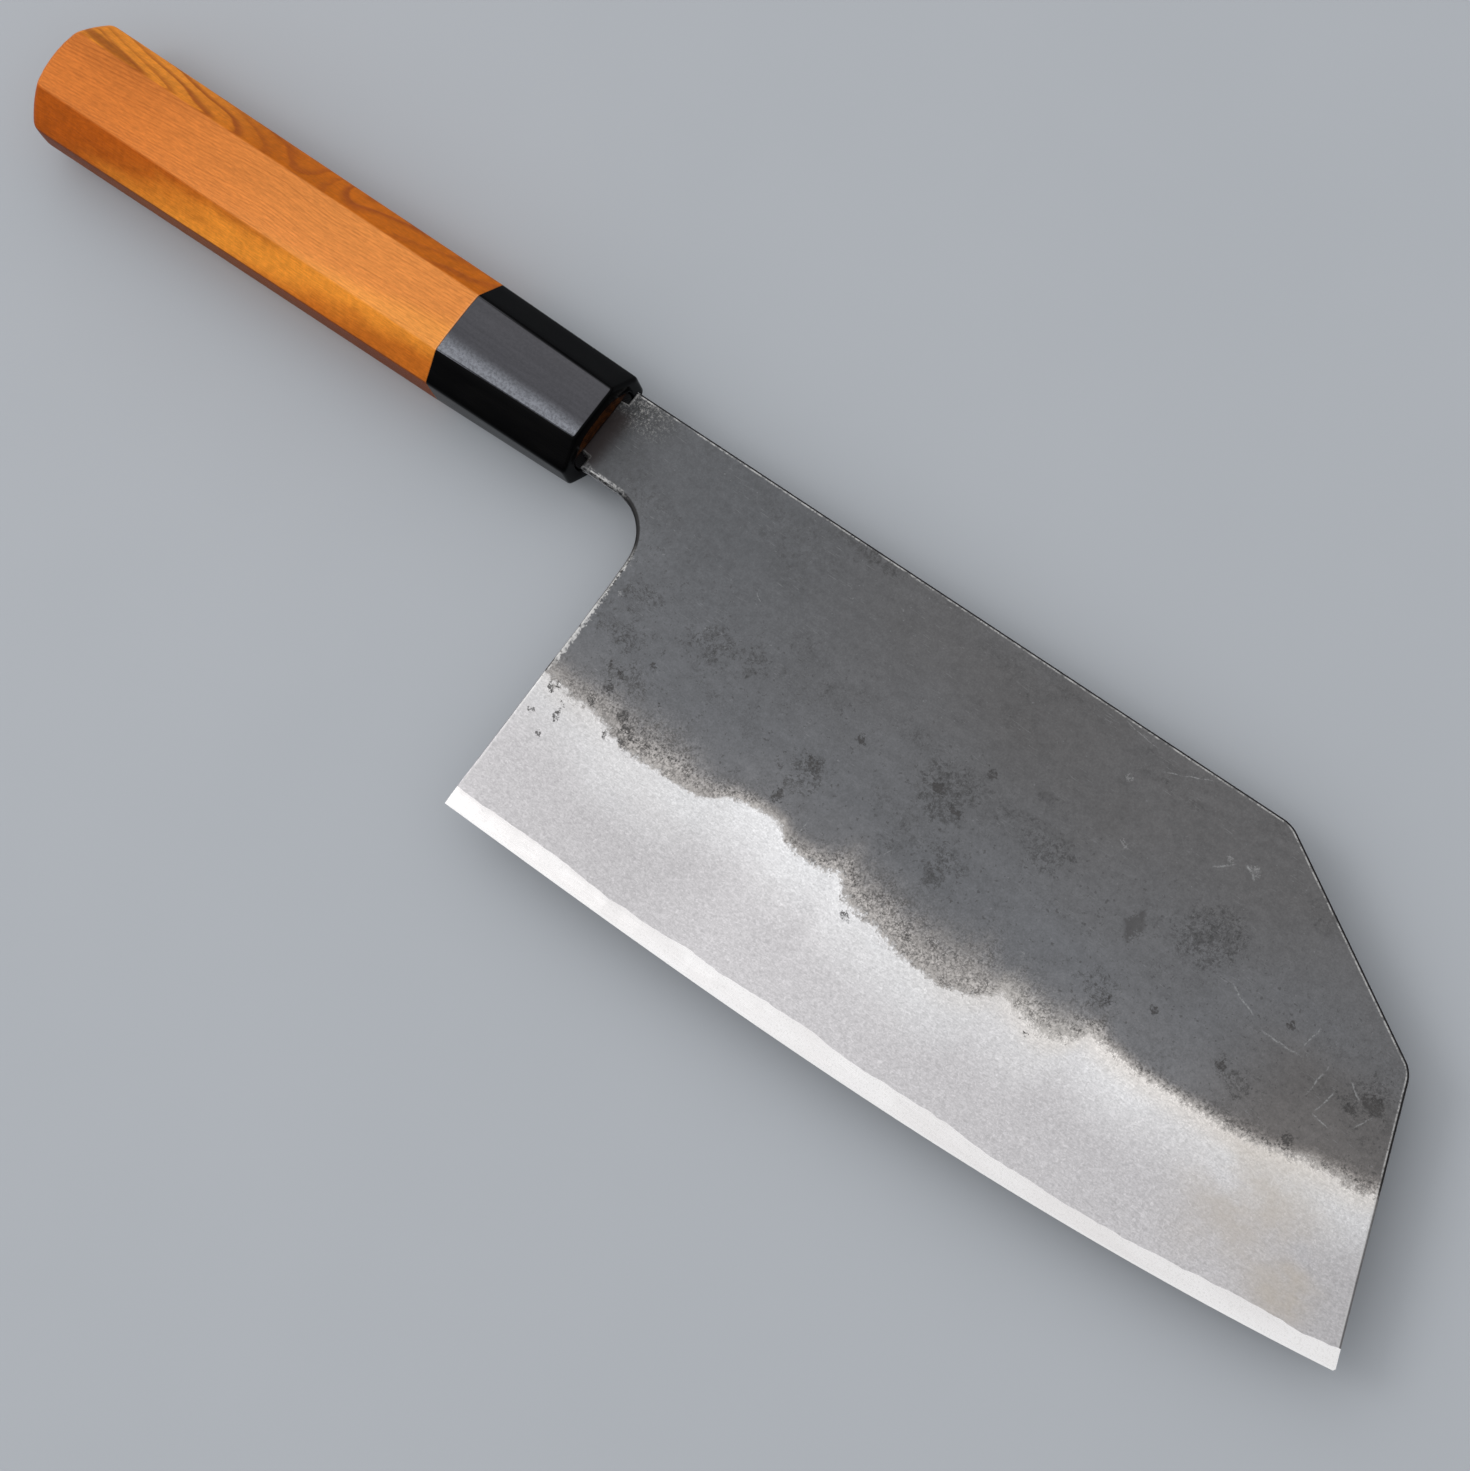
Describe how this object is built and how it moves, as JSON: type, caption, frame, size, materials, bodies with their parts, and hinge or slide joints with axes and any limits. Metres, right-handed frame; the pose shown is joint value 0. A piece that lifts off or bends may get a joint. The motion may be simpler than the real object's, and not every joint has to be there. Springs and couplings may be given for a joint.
{
  "type": "bunka knife",
  "caption": "Kitchen knife with a wide laminated blade, clipped angled tip and curved choil, on an octagonal wooden handle with a dark horn ferrule.",
  "frame": {"origin": "below the middle of the overall box, on the level that the handle's lowest facet rests on", "axes": "+X along the handle towards the tip, +Y towards the spine, +Z out of the blade's right cheek; the knife lies on its left side"},
  "size_m": [0.3087, 0.0766, 0.0174],
  "materials": {
    "hard_steel": "ground, near mirror at the cutting edge",
    "scaled_iron": "dark forge scale on the cheek, pale ground bevel below it",
    "yew_wood": "satin, fine straight grain",
    "buffalo_horn": "polished"
  },
  "bodies": {
    "root": {"hard_steel_core": "hard_steel", "iron_cladding_right": "scaled_iron", "iron_cladding_left": "scaled_iron", "wooden_grip": "yew_wood", "horn_ferrule": "buffalo_horn"}
  },
  "joints": []
}
